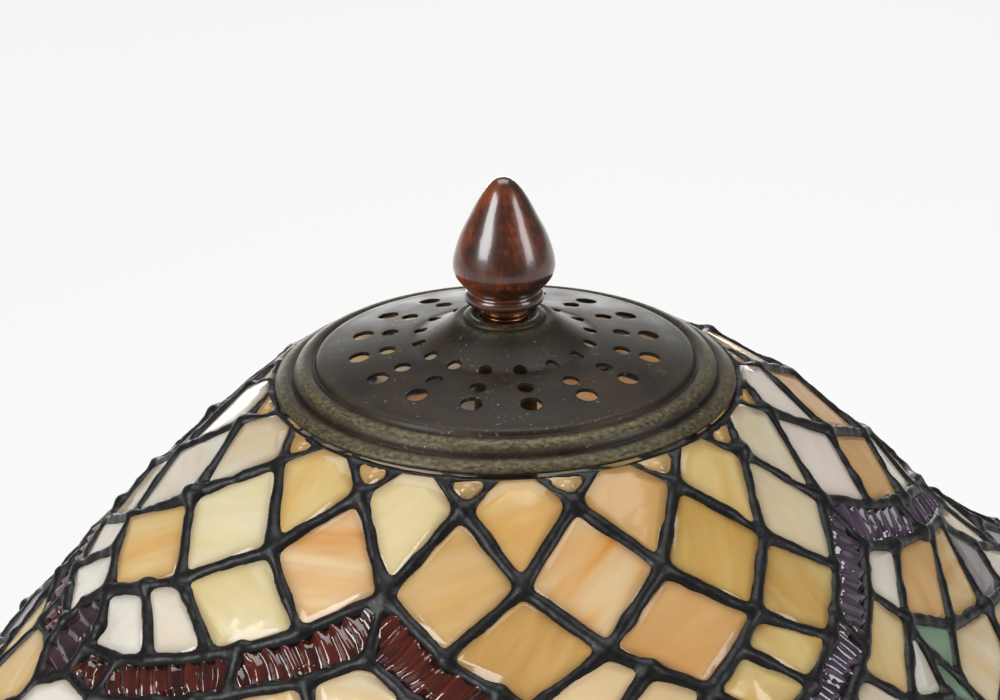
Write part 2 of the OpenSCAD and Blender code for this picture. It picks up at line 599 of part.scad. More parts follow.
// The pull chain hangs upright under the mouth of its guide
module on_chain(side) {
    translate([side_sign(side) * (port_x + guide_x * cos(socket_tilt) + guide_z * sin(socket_tilt)), 0,
        port_z - guide_x * sin(socket_tilt) + guide_z * cos(socket_tilt)]) children();
}
module chain_guide(side) {
    color("#b08d4a") difference() {
        union() {
            on_chain(side) translate([0, 0, -guide_h / 2]) cylinder(r = guide_r, h = guide_h);
            on_socket(side) translate([side_sign(side) * arm_x, 0, guide_z])
                rotate([0, side_sign(side) * 90, 0]) cylinder(r = 2, h = guide_x - arm_x);
        }
        on_chain(side) translate([0, 0, -guide_h / 2 - 1]) cylinder(r = guide_r - guide_wall, h = guide_h - 1);
    }
}
ball_pitch = 2 * chain_r + 0.8;
chain_top = guide_h / 2 - 3.5;
chain_drop = (chain_balls - 1) * ball_pitch;
module pull_chain(side) {
    color("#c2a25a") on_chain(side) translate([0, 0, chain_top]) {
        for (i = [0:chain_balls - 1]) translate([0, 0, -i * ball_pitch]) sphere(r = chain_r, $fn = 24);
        translate([0, 0, -chain_drop]) cylinder(r = chain_r * 0.4, h = chain_drop, $fn = 16);
    }
}
module chain_knob(side) {
    knob = [[1.6, -0.3], [2.2, -2], [2.6, -4], [5, -8.5], [5.8, -12.5], [4.4, -16.5], [1.8, -18.6], [0, -19]];
    color("#4a1a0c") on_chain(side) translate([0, 0, chain_top - chain_drop - chain_r])
        turn(concat([[0, knob[0][1]]], smooth(knob)));
}
module bulb_base(side) {
    color("#c8c8c4") on_socket(side) translate([0, 0, bulb_z])
        turn([[0, 0], [4, 0], [4.6, 1.2], [9, 3.2], [screw_r, 5], [screw_r, screw_h - 1],
            [screw_r - 0.6, screw_h], [0, screw_h]]);
}
module bulb_glass(side) {
    fat = bulb_h - bulb_r;
    neck = [[screw_r - 0.8, 0], [screw_r + 0.4, 4], [bulb_r * 0.8, fat * 0.5], [bulb_r * 0.97, fat * 0.84]];
    // The outline from the neck to the tip, moved in by some wall
    function envelope(wall) = concat([for (p = smooth(neck, 3)) [p[0] - wall, p[1]]],
        [for (i = [0:9]) [(bulb_r - wall) * cos(i * 10), fat + (bulb_r - wall) * sin(i * 10)]]);
    color("#f4f1e8") on_socket(side) translate([0, 0, bulb_z + screw_h + 0.06])
        turn(concat(envelope(0), reversed(envelope(bulb_wall))));
}

felt_pad();
foot();
cord_bushing();
weight();
base_washer();
base_nut();
stem();
hub();
threaded_pipe();
spacer_tube();
seat_nut();
seat_washer();
cap();
finial_insert();
finial();
leading();
hem_wire();
glass("rim_glass", "#e9d9b0");  // rim_glass
glass("lattice_glass", "#e8cf94");  // lattice_glass
glass("shoulder_glass", "#f2efe6");  // shoulder_glass
glass("ribbon_glass", "#4a2226");  // ribbon_glass
glass("crest_glass", "#2c1c22");  // crest_glass
glass("field_glass", "#eee6d2");  // field_glass
glass("leaf_glass", "#7f9a86");  // leaf_glass
glass("petal_glass", "#8a8790");  // petal_glass
glass("blossom_glass", "#d99a3c");  // blossom_glass
glass("belt_glass", "#4a2226");  // belt_glass
glass("hem_glass", "#e6cfa0");  // hem_glass
for (side = sides) {
    nipple(side);
    socket_cap(side);
    socket_shell(side);
    socket_liner(side);
    socket_core(side);
    screw_shell(side);
    centre_contact(side);
    chain_guide(side);
    pull_chain(side);
    chain_knob(side);
    bulb_base(side);
    bulb_glass(side);
}
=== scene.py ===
import math
import random

import bmesh
import bpy
from mathutils import Matrix, Quaternion, Vector
from mathutils.kdtree import KDTree


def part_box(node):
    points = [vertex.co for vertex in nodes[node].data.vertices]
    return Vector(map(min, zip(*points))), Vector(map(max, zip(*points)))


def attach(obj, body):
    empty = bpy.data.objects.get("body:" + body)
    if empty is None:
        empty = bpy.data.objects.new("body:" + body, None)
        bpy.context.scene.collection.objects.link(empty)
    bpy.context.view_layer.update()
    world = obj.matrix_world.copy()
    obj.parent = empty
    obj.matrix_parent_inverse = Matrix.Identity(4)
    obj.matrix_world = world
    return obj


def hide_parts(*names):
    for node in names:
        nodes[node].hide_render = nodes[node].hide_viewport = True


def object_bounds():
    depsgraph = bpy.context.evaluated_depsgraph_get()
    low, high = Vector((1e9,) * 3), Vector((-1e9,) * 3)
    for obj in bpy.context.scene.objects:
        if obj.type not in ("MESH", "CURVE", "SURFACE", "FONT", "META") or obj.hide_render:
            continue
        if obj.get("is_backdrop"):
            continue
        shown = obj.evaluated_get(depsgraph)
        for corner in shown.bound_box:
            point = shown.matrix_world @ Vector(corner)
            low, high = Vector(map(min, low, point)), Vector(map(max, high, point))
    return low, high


# %% [markdown]
# # A leaded-glass table lamp
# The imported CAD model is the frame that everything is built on. It is loaded first, and its box is measured
# at once, because the finished lamp has to stay inside it. Lengths are in metres, and MM turns millimetres
# into them, so that every size below can be read off as it would be on the bench.

# %% Load the frame
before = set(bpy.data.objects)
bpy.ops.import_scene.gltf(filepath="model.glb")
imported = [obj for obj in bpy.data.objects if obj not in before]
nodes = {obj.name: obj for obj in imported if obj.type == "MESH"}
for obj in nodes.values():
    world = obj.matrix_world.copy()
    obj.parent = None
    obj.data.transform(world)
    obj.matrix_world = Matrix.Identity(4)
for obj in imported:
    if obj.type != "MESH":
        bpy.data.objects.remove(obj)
cad_low, cad_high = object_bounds()
MM = 0.001
RIM_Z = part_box("cap")[0].z
SHADE_TURN = math.radians(-20.15)
random.seed(7)
print("frame:", len(nodes), "nodes, cap's edge at", round(RIM_Z / MM, 2), "mm")

# %% [markdown]
# ## Small tools
# Colours are written as sRGB hex and turned into linear light by one function. One more function adds a
# node to any tree, with its settings and links, so that each tree below reads from top to bottom.

# %% Colour and node tools
def linear(code):
    """The linear colour of an sRGB hex code."""
    parts = [int(code[i:i + 2], 16) / 255 for i in (1, 3, 5)]
    return [p / 12.92 if p <= 0.04045 else ((p + 0.055) / 1.055) ** 2.4 for p in parts] + [1]


def add(tree, kind, inputs=None, **settings):
    """Adds a node. Settings are its own options; inputs are values or sockets, by input name or number."""
    made = tree.nodes.new(kind)
    for key, value in settings.items():
        setattr(made, key, value)
    for key, value in (inputs or {}).items():
        if isinstance(value, bpy.types.NodeSocket):
            tree.links.new(value, made.inputs[key])
        else:
            made.inputs[key].default_value = value
    return made


def ramp(tree, factor, *stops):
    """A colour ramp from (place, hex) stops."""
    made = add(tree, "ShaderNodeValToRGB", {0: factor})
    line = made.color_ramp
    while len(line.elements) < len(stops):
        line.elements.new(0.5)
    for element, (place, code) in zip(line.elements, stops):
        element.position, element.color = place, linear(code)
    return made.outputs[0]


def spread(tree, value, low, high, from_low=0.3, from_high=0.7):
    """Maps a texture's middle values onto a range."""
    made = add(tree, "ShaderNodeMapRange", {0: value, 1: from_low, 2: from_high, 3: low, 4: high})
    return made.outputs[0]


def sum_of(tree, operation, a, b):
    return add(tree, "ShaderNodeMath", {0: a, 1: b}, operation=operation).outputs[0]


def blend_colour(tree, factor, a, b, how="MIX"):
    made = add(tree, "ShaderNodeMix", {0: factor, 6: a, 7: b}, data_type="RGBA", blend_type=how)
    return made.outputs[2]


def texture(tree, vector, size_mm, detail=3, stretch=(1, 1, 1), distortion=0, kind="ShaderNodeTexNoise"):
    """A noise whose features are about size_mm across, stretched along the axes."""
    scale = [1 / (size_mm * MM * s) for s in stretch]
    mapped = add(tree, "ShaderNodeMapping", {0: vector, 3: scale}).outputs[0]
    inputs = {"Vector": mapped, "Scale": 1, "Detail": detail, "Distortion": distortion}
    return add(tree, kind, inputs).outputs[0]


def start_material(name, **shader):
    """A new material with its tree, its shader and the object's own coordinates."""
    made = bpy.data.materials.new(name)
    made.use_nodes = True
    tree = made.node_tree
    bsdf = tree.nodes["Principled BSDF"]
    for key, value in shader.items():
        bsdf.inputs[key.replace("_", " ")].default_value = value
    place = add(tree, "ShaderNodeTexCoord").outputs["Object"]
    return made, tree, bsdf, place


def wire(tree, bsdf, **sockets):
    for key, value in sockets.items():
        tree.links.new(value, bsdf.inputs[key.replace("_", " ")])


def bump(tree, height, depth_mm, below=None):
    inputs = {"Height": height, "Distance": depth_mm * MM, "Strength": 1}
    if below is not None:
        inputs["Normal"] = below
    return add(tree, "ShaderNodeBump", inputs).outputs[0]

# %% [markdown]
# ## Materials
# Most of the lamp's metals and plain parts share one recipe: a few colours that drift into each other, a
# roughness that drifts with them, and a fine bump. A flat colour would look like plastic, and a picture of
# each surface would have to be wrapped round it, so noise on the object's own coordinates is used. Each
# finish is named for what the real one is.

# %% Plain finishes
def drifting(name, colours, size_mm, rough, depth_mm, grain_mm=0.6, stretch=(1, 1, 1), **shader):
    """Colour and roughness that drift over size_mm, with a bump of grain_mm."""
    made, tree, bsdf, place = start_material(name, **shader)
    cloud = texture(tree, place, size_mm, 4, stretch)
    fine = texture(tree, place, grain_mm, 3, stretch)
    spots = [(0.3 + 0.4 * i / (len(colours) - 1), c) for i, c in enumerate(colours)]
    mixed = sum_of(tree, "ADD", sum_of(tree, "MULTIPLY", cloud, 0.75), sum_of(tree, "MULTIPLY", fine, 0.25))
    wire(tree, bsdf, Base_Color=ramp(tree, mixed, *spots), Roughness=spread(tree, mixed, *rough),
         Normal=bump(tree, fine, depth_mm))
    return made


plain = {
    # Cast foot and stem under a brown-black patina: soft highlights with a hint of olive
    "bronze": drifting("patinated_bronze", ["#1d1814", "#2e261d", "#433725"], 18, (0.3, 0.48), 0.05, 1.2,
                       Metallic=0.75),
    # Lacquered socket brass: a warm, slightly dulled mirror
    "brass": drifting("lacquered_brass", ["#8c6a30", "#a98645", "#bb9a58"], 9, (0.2, 0.34), 0.008, 0.5,
                      Metallic=1.0),
    # Brass-plated steel pipe, browned by handling
    "copper_pipe": drifting("coppery_pipe", ["#5d3a22", "#8a5c3a", "#a87a52"], 6, (0.25, 0.42), 0.01, 0.4,
                            Metallic=1.0),
    # Zinc-plated washers: grey with a fine scratch
    "steel": drifting("zinc_plated_steel", ["#85857f", "#a3a39d"], 5, (0.28, 0.42), 0.006, 0.3, (1, 6, 1),
                      Metallic=1.0),
    # Cast weight, bare and slightly rusted
    "iron": drifting("cast_iron", ["#2c2a28", "#46413c", "#57412f"], 7, (0.6, 0.8), 0.2, 0.9, Metallic=0.6),
    # Pressed wool felt: no gloss, short fibres
    "felt": drifting("green_felt", ["#24402c", "#33563c"], 2, (0.9, 1.0), 0.3, 0.35, Sheen_Weight=0.6),
    # Moulded bushing: black with a satin face
    "black_plastic": drifting("black_plastic", ["#111111", "#191919"], 4, (0.32, 0.45), 0.01, 0.3, IOR=1.46),
    # Glazed socket core
    "porcelain": drifting("glazed_porcelain", ["#e4dccb", "#efe9dc"], 6, (0.12, 0.2), 0.01, 1, IOR=1.5,
                          Coat_Weight=0.5),
    # Varnished card sleeve inside the socket
    "paper": drifting("varnished_card", ["#7a5b35", "#93714a"], 3, (0.55, 0.75), 0.05, 0.25, (6, 1, 1)),
    # Bulb base: nickel plate
    "nickel": drifting("nickel_plate", ["#b5b2aa", "#c9c6be"], 8, (0.16, 0.26), 0.004, 0.4, Metallic=1.0),
    # Bulb: white inside coating seen through clear glass
    "bulb_glass": drifting("coated_bulb_glass", ["#efece3", "#f6f4ee"], 12, (0.18, 0.22), 0.002, 1, IOR=1.5,
                           Coat_Weight=1.0, Coat_Roughness=0.03),
}
print("plain finishes:", len(plain))

# %% [markdown]
# Solder lines are blackened with a chemical patina after they are run. What is seen is the dark skin and
# not bare tin, so the shader is mostly not metallic: nearly black, with a satin gloss and low lumps left by
# the iron.

# %% Blackened solder
def make_solder():
    made, tree, bsdf, place = start_material("blackened_solder", Metallic=0.1, IOR=1.5, Specular_IOR_Level=0.25)
    lumps = texture(tree, place, 4, 2)
    fine = texture(tree, place, 0.9, 3)
    tone = ramp(tree, lumps, (0.3, "#060607"), (0.55, "#0b0b0c"), (0.75, "#151617"))
    wire(tree, bsdf, Base_Color=tone, Roughness=spread(tree, fine, 0.34, 0.5),
         Normal=bump(tree, fine, 0.02, bump(tree, lumps, 0.25)))
    return made


solder = make_solder()
print("solder:", solder.name)

# %% [markdown]
# The cap is spun metal with a dark brown patina. Edges could be found by the shader, but that works in one
# render engine only. Instead a "wear" value on each point says how far it stands proud, and there the
# patina is rubbed to an olive brass. Small flecks of dust lie over everything.

# %% Cap bronze
def make_cap_bronze():
    made, tree, bsdf, place = start_material("spun_bronze_patina", Metallic=0.3, IOR=1.45,
                                             Specular_IOR_Level=0.35)
    cloud = texture(tree, place, 9, 5)
    spun = texture(tree, place, 1.2, 4, (1, 1, 0.4))
    wear = add(tree, "ShaderNodeAttribute", attribute_name="wear").outputs["Fac"]
    proud = sum_of(tree, "POWER", wear, 2.4)
    rubbed = sum_of(tree, "MULTIPLY", proud, spread(tree, spun, 0.12, 0.72, 0.36, 0.68))
    dark = ramp(tree, cloud, (0.3, "#130e08"), (0.5, "#1e160d"), (0.72, "#2d2214"))
    worn = blend_colour(tree, rubbed, dark, linear("#756d4e"))
    dust = spread(tree, texture(tree, place, 0.9, 4), 0.0, 0.6, 0.63, 0.76)
    patchy = sum_of(tree, "MULTIPLY", dust, spread(tree, texture(tree, place, 6, 3), 0.1, 1, 0.45, 0.62))
    colour = blend_colour(tree, patchy, worn, linear("#98927c"))
    wire(tree, bsdf, Base_Color=colour, Roughness=spread(tree, cloud, 0.4, 0.55),
         Normal=bump(tree, spun, 0.035))
    return made


cap_bronze = make_cap_bronze()
print("cap:", cap_bronze.name)

# %% [markdown]
# The finial is turned wood under a thick red-brown lacquer. The grain runs up it, so its noise is stretched
# along Z, and a clear coat over the colour gives the second, sharper highlight that lacquer has.

# %% Lacquered wood
def make_wood():
    made, tree, bsdf, place = start_material("lacquered_wood", Roughness=0.3, IOR=1.45, Coat_Weight=0.7,
                                             Coat_Roughness=0.12)
    grain = texture(tree, place, 0.9, 5, (1, 1, 14), 0.4)
    cloud = texture(tree, place, 9, 3)
    both = sum_of(tree, "ADD", sum_of(tree, "MULTIPLY", grain, 0.3), sum_of(tree, "MULTIPLY", cloud, 0.7))
    tone = ramp(tree, both, (0.35, "#1e0902"), (0.5, "#381505"), (0.66, "#6c2f0c"))
    fine = texture(tree, place, 5, 2)
    wire(tree, bsdf, Base_Color=tone, Coat_Normal=bump(tree, fine, 0.12))
    return made


wood = make_wood()
print("finial:", wood.name)

# %% [markdown]
# ## Opalescent glass
# Each piece is cut from a sheet of streaky glass, so the streaks need the sheet's own directions. One
# pattern over the whole shade would run on from piece to piece, which cut glass never does. So every point
# carries a "sheet" position in metres, turned and shifted at random for each piece, with the piece's
# "tint", its "streak" colour, how near the point is to the "edge" and whether it is on the outer "face".
# Opal glass lets part of the light through: a translucent share lights the inside of the shade. Next to the
# lead the colour is darkened towards its "edge" as painted shade. Rippled glass is darker and takes its
# gloss from real ridges.

# %% Glass
def make_glass(name, wisp_mm, stretch, softness, bump_mm, rough, through):
    made, tree, bsdf, place = start_material(name, IOR=1.52, Coat_Weight=0.4, Coat_Roughness=0.06)
    read = {key: add(tree, "ShaderNodeAttribute", attribute_name=key)
            for key in ("sheet", "tint", "streak", "edge", "face")}
    sheet = read["sheet"].outputs["Vector"]
    broad = texture(tree, sheet, wisp_mm, 2, stretch, 0.35)
    wisps = texture(tree, sheet, wisp_mm * 0.3, 3, stretch, 0.3)
    amount = spread(tree, broad, 0, 1, 0.5 - softness, 0.5 + softness)
    colour = blend_colour(tree, amount, read["tint"].outputs["Color"], read["streak"].outputs["Color"])
    milk = sum_of(tree, "MULTIPLY", spread(tree, wisps, 0, 1, 0.42, 0.8), 0.3)
    colour = blend_colour(tree, milk, colour, linear("#f4e6bc"), "SOFT_LIGHT")
    # Painted shade: the colour darkens towards brown near the edge, where the glass meets the lead.
    painted_edge_shade = sum_of(tree, "MULTIPLY", sum_of(tree, "POWER", read["edge"].outputs["Fac"], 2.2), 0.55)
    colour = blend_colour(tree, painted_edge_shade, colour, linear("#7a5a38"), "MULTIPLY")
    fibre = texture(tree, place, 1.1, 2, (0.08, 1.2, 0.3), 1.5)
    scratch = sum_of(tree, "MULTIPLY", spread(tree, fibre, 0, 1, 0.74, 0.8), 0.35)
    colour = blend_colour(tree, scratch, colour, linear("#ffffff"))
    wave = texture(tree, place, 9, 2)
    wire(tree, bsdf, Base_Color=colour, Roughness=spread(tree, wisps, *rough),
         Normal=bump(tree, wave, bump_mm), Coat_Normal=bump(tree, wave, bump_mm * 1.4))
    lit = blend_colour(tree, 0.45, colour, linear("#fff3dc"))
    glow = add(tree, "ShaderNodeBsdfTranslucent", {0: lit}).outputs[0]
    share = spread(tree, read["face"].outputs["Fac"], 0.85, through, 0, 1)
    both = add(tree, "ShaderNodeMixShader", {0: share, 1: bsdf.outputs[0], 2: glow}).outputs[0]
    tree.links.new(both, tree.nodes["Material Output"].inputs["Surface"])
    return made


streaky = make_glass("streaky_opal_glass", 7, (4, 0.9, 1), 0.22, 0.25, (0.12, 0.24), 0.5)
rippled = make_glass("rippled_plum_glass", 5, (0.5, 2.5, 1), 0.14, 0.05, (0.05, 0.1), 0.12)
print("glass materials ready")

# %% [markdown]
# ## Cutting the pieces of glass
# Each CAD glass node holds many flat pieces as loose triangles. A copy is welded and its flat parts are
# merged, so that each piece shows one outer face, and that face's corners are the outline. Reading the
# outlines keeps every piece of glass exactly where the CAD has it.

# %% Read the outlines
def outlines(node):
    """The outer outline and outward direction of every piece of glass in a node."""
    bm = bmesh.new()
    bm.from_mesh(nodes[node].data)
    bmesh.ops.remove_doubles(bm, verts=bm.verts, dist=2e-6)
    bmesh.ops.dissolve_limit(bm, angle_limit=math.radians(0.6), verts=bm.verts, edges=bm.edges)
    found, seen = [], set()
    for first in bm.faces:
        if first.index in seen:
            continue
        part, queue = [], [first]
        seen.add(first.index)
        while queue:
            face = queue.pop()
            part.append(face)
            for other in (f for e in face.edges for f in e.link_faces):
                if other.index not in seen:
                    seen.add(other.index)
                    queue.append(other)
        middle = sum((f.calc_center_median() for f in part), Vector()) / len(part)
        out = Vector((middle.x, middle.y, 0.5 * math.hypot(middle.x, middle.y))).normalized()
        top = max(part, key=lambda f: f.normal.dot(out))
        found.append(([v.co.copy() for v in top.verts], top.normal.copy()))
    bm.free()
    return found


GLASS = ["rim_glass", "lattice_glass", "shoulder_glass", "ribbon_glass", "crest_glass", "field_glass",
         "leaf_glass", "petal_glass", "blossom_glass", "belt_glass", "hem_glass"]
pieces = {node: outlines(node) for node in GLASS}
print("pieces of glass:", {k: len(v) for k, v in pieces.items()})

# %% [markdown]
# ## Colours of the sheets
# The lattice near the cap was cut from chosen bits of glass, so those pieces are listed one by one: by row
# under the cap, and by steps of 11.25 degrees from the front hollow. The rest are drawn from a palette.

# %% Palettes
LATTICE = {
    1: {-4: ("#d9d6cb", "#d8b87e"), -2: ("#e0c68a", "#d8ae66"), 0: ("#e3d09c", "#ead9b0"),
        2: ("#dfc184", "#d29a4c"), 4: ("#c99c5c", "#d2a868"), 6: ("#d8b068", "#e4cc8c"),
        8: ("#e9e2cc", "#dccdaa"), 10: ("#efe6dd", "#f2ece6"), -6: ("#efece4", "#e4dccb")},
    2: {-5: ("#eeece6", "#ddd2bc"), -3: ("#e2d4a4", "#ece2c4"), -1: ("#dd9a4e", "#eed9b0"),
        1: ("#dcbc88", "#d2a868"), 3: ("#e4d2ac", "#d8963e"), 5: ("#d4b26a", "#c99c4a"),
        7: ("#e8dec2", "#e6d2a8"), 9: ("#efe9e2", "#ecdcd4")},
    3: {-4: ("#e6cc96", "#dcab62"), -2: ("#e9dec0", "#e2cd8c"), 2: ("#c0924e", "#d8b070"),
        4: ("#dfb47c", "#d29c5c"), 6: ("#dccb8e", "#cfa050"), 8: ("#e8dcc4", "#e0c896"),
        -6: ("#e9e4d6", "#d8c7a2")},
}
CREAM = [("#e2d4a6", "#d09a4c"), ("#ece2cc", "#e0c48c"), ("#dab268", "#e6d4a4"), ("#dfba82", "#d49c58"),
         ("#e8dcbc", "#d6a658"), ("#eee8da", "#e2ccaa")]
AMBER = [("#e2aa62", "#efcf96"), ("#e6b86e", "#dfa054"), ("#ecc28c", "#e0a068"), ("#e8cf8a", "#dfb45a")]
WHITE = [("#f4f2ec", "#e9e4d8"), ("#f1eee6", "#e4ddcd"), ("#eeeae2", "#e8d9bf")]
PALETTE = {
    "rim_glass": [("#c99e62", "#d8b880"), ("#bf9258", "#d0aa70"), ("#d2b482", "#c29a60")],
    "lattice_glass": CREAM, "shoulder_glass": WHITE, "field_glass": CREAM + WHITE[:2],
    "leaf_glass": [("#7c9a86", "#a9bda8"), ("#5f7f6c", "#8fae94")],
    "petal_glass": [("#5c5860", "#8d8790"), ("#8f6f7e", "#c2a6ae"), ("#7a6a80", "#aa9cb0")],
    "blossom_glass": [("#d98f34", "#eec36a")],
    "hem_glass": [("#e3c690", "#efe2c2"), ("#dcb478", "#ecd6a8"), ("#ead9b4", "#d9a868")],
    "ribbon_glass": [("#260906", "#48150d")], "crest_glass": [("#180a10", "#2e1624")],
    "belt_glass": [("#260906", "#48150d")],
}


def polar(point):
    """Degrees from the front hollow and the drop below the cap's edge in millimetres."""
    turn = math.degrees(math.atan2(point.x, -point.y) - SHADE_TURN)
    return (turn + 180) % 360 - 180, (RIM_Z - point.z) / MM


def colours_of(node, centre):
    turn, drop = polar(centre)
    step = round(turn / 11.25)
    if node == "lattice_glass":
        row = 1 if drop < 12 else 2 if drop < 21.5 else 3
        chosen = LATTICE[row].get(step)
        if chosen:
            return chosen
    if node == "shoulder_glass" and 15 < turn < 70:
        return ("#e6d294", "#dcb468") if turn > 45 else ("#e2c294", "#ecd4a8")
    if abs(turn) > 142 and (node == "lattice_glass" or node == "field_glass" and drop < 100):
        return random.choice(AMBER)
    if node == "ribbon_glass" and turn > 40:
        return ("#261a2c", "#4a3d50")
    return random.choice(PALETTE[node])

# %% [markdown]
# A piece of glass is a thin plate with a softened edge and a face that swells slightly. A bevel modifier
# would break on the narrow corners, so each plate is built from rings of the outline. Rippled pieces are
# then sliced into narrow strips across and along, which gives the ridges points to move.

# %% Build the plates
def long_axis(outline, normal):
    """The direction in the piece's plane along which it is longest."""
    best, direction = 0, None
    for i, a in enumerate(outline):
        for b in outline[i + 1:]:
            if (b - a).length > best:
                best, direction = (b - a).length, b - a
    return (direction - direction.project(normal)).normalized()


def slice_across(bm, direction, centre, reach, pitch):
    """Cuts the plate with planes across a direction, one every pitch."""
    count = int(reach / pitch)
    for i in range(-count, count + 1):
        bmesh.ops.bisect_plane(bm, geom=bm.verts[:] + bm.edges[:] + bm.faces[:], dist=1e-7,
                               plane_co=centre + direction * (i * pitch), plane_no=direction)


THICK = 3.0 * MM
UNDER_LEAD = 1.05 * MM


def widened(outline, normal):
    """The outline moved outwards, so that its edge is hidden under the solder as a foiled edge is."""
    made = []
    for i, p in enumerate(outline):
        before = (p - outline[i - 1]).cross(normal).normalized()
        after = (outline[(i + 1) % len(outline)] - p).cross(normal).normalized()
        made.append(p + (before + after) * UNDER_LEAD / max(1 + before.dot(after), 0.35))
    return made


def plate(outline, normal, ripple_along):
    """One piece, with how near each vertex is to the edge and whether it is on the outer face."""
    outline = widened(outline, normal)
    centre = sum(outline, Vector()) / len(outline)
    def towards(p, by):
        return p + (centre - p) * min(0.4, by * MM / (centre - p).length)
    rings = [
        ([p - normal * THICK for p in outline], 1, 0),
        ([p - normal * 0.35 * MM for p in outline], 1, 0),
        ([towards(p, 0.3) for p in outline], 1, 1),
        ([towards(p, 3.0) + normal * 0.1 * MM for p in outline], 0.45, 1),
        ([towards(p, 5.5) + normal * 0.18 * MM for p in outline], 0, 1),
    ]
    bm = bmesh.new()
    edge_layer = bm.verts.layers.float.new("edge")
    face_layer = bm.verts.layers.float.new("face")
    made = []
    for points, edge, on_face in rings:
        ring = [bm.verts.new(p) for p in points]
        for v in ring:
            v[edge_layer], v[face_layer] = edge, on_face
        made.append(ring)
    n = len(outline)
    for low, high in zip(made, made[1:]):
        for i in range(n):
            bm.faces.new((low[i], low[(i + 1) % n], high[(i + 1) % n], high[i]))
    bm.faces.new(made[-1])
    bm.faces.new(list(reversed(made[0])))
    if ripple_along is not None:
        reach = max((p - centre).length for p in outline)
        slice_across(bm, ripple_along, centre, reach, 0.5 * MM)
        slice_across(bm, normal.cross(ripple_along), centre, reach, 2.2 * MM)
    bmesh.ops.recalc_face_normals(bm, faces=bm.faces)
    return bm, centre


def glass_object(node, rippled_too):
    """All the plates of a node in one object, with the sheet, tint, streak and edge of every point."""
    points, faces = [], []
    values = {key: [] for key in ("sheet", "tint", "streak", "edge", "face", "facing")}
    for outline, normal in pieces[node]:
        if node == "rim_glass":
            outline = [p - normal * 0.7 * MM for p in outline]
        along = None
        if rippled_too:
            along = long_axis(outline, normal)
            if node == "belt_glass":
                along = Vector((0, 0, 1)).cross(normal).normalized()
        bm, centre = plate(outline, normal, along)
        tint, streak = (linear(c) for c in colours_of(node, centre))
        if along is not None:
            x_axis, shift = along, Vector((random.random(), random.random(), random.random()))
        else:
            level = Vector((0, 0, 1)).cross(normal).normalized()
            lean = random.gauss(50, 28) if node == "lattice_glass" else random.uniform(0, 180)
            x_axis, shift = Matrix.Rotation(math.radians(lean), 3, normal) @ level, Vector(
                (random.random(), random.random(), random.random()))
        y_axis = normal.cross(x_axis)
        start = len(points)
        for v in bm.verts:
            offset = v.co - centre
            points.append(v.co.copy())
            values["sheet"].append((offset.dot(x_axis) + shift.x, offset.dot(y_axis) + shift.y, shift.z))
            values["tint"].append(tint)
            values["streak"].append(streak)
            values["edge"].append(v[bm.verts.layers.float["edge"]])
            values["face"].append(v[bm.verts.layers.float["face"]])
            values["facing"].append(tuple(normal))
        bm.verts.index_update()
        faces += [[start + v.index for v in f.verts] for f in bm.faces]
        bm.free()
    mesh = bpy.data.meshes.new(node + "_cut")
    mesh.from_pydata(points, [], faces)
    mesh.shade_smooth()
    for name, kind, field in (("sheet", "FLOAT_VECTOR", "vector"), ("tint", "FLOAT_COLOR", "color"),
                              ("streak", "FLOAT_COLOR", "color"), ("edge", "FLOAT", "value"),
                              ("face", "FLOAT", "value"), ("facing", "FLOAT_VECTOR", "vector")):
        layer = mesh.attributes.new(name, kind, "POINT")
        data = values[name] if field == "value" else [c for value in values[name] for c in value]
        layer.data.foreach_set(field, data)
    return place_mesh(node + "_cut", mesh)


def place_mesh(name, mesh):
    made = bpy.data.objects.new(name, mesh)
    bpy.context.scene.collection.objects.link(made)
    return made

# %% [markdown]
# ## Geometry Nodes for the ripples
# The ridges run across the ribbon. They could be bump in the material, but real ridges catch the light at
# their crests and show at the edge of the shade. The tree reads how far along the sheet each point is,
# shifts that a little with noise so that no ridge is straight, and lifts the face by a wave of it.

# %% Ripple tree
def start_tree(name, **inputs):
    """A tree with one geometry in and out, and a named number for each input."""
    tree = bpy.data.node_groups.new(name, "GeometryNodeTree")
    tree.interface.new_socket("Geometry", in_out="INPUT", socket_type="NodeSocketGeometry")
    tree.interface.new_socket("Geometry", in_out="OUTPUT", socket_type="NodeSocketGeometry")
    for title, value in inputs.items():
        tree.interface.new_socket(title, in_out="INPUT", socket_type="NodeSocketFloat").default_value = value
    return tree, add(tree, "NodeGroupInput").outputs


def end_tree(tree, geometry, material):
    real = add(tree, "GeometryNodeRealizeInstances", {0: geometry}).outputs[0]
    dressed = add(tree, "GeometryNodeSetMaterial", {0: real, "Material": material}).outputs[0]
    add(tree, "NodeGroupOutput", {0: dressed})


def run_tree(obj, tree, later=(), **values):
    """Runs a tree, then any later modifiers, and keeps the result as a plain mesh."""
    modifier = obj.modifiers.new(tree.name, "NODES")
    modifier.node_group = tree
    for item in tree.interface.items_tree:
        if item.in_out == "INPUT" and item.name in values:
            modifier[item.identifier] = values[item.name]
    for kind, settings in later:
        extra = obj.modifiers.new(kind, kind)
        for key, value in settings.items():
            setattr(extra, key, value)
    graph = bpy.context.evaluated_depsgraph_get()
    done = obj.evaluated_get(graph)
    mesh = bpy.data.meshes.new_from_object(done, preserve_all_data_layers=True, depsgraph=graph)
    obj.modifiers.clear()
    obj.data = mesh
    return obj


def read_attribute(tree, name, kind):
    return add(tree, "GeometryNodeInputNamedAttribute", {"Name": name}, data_type=kind).outputs[0]


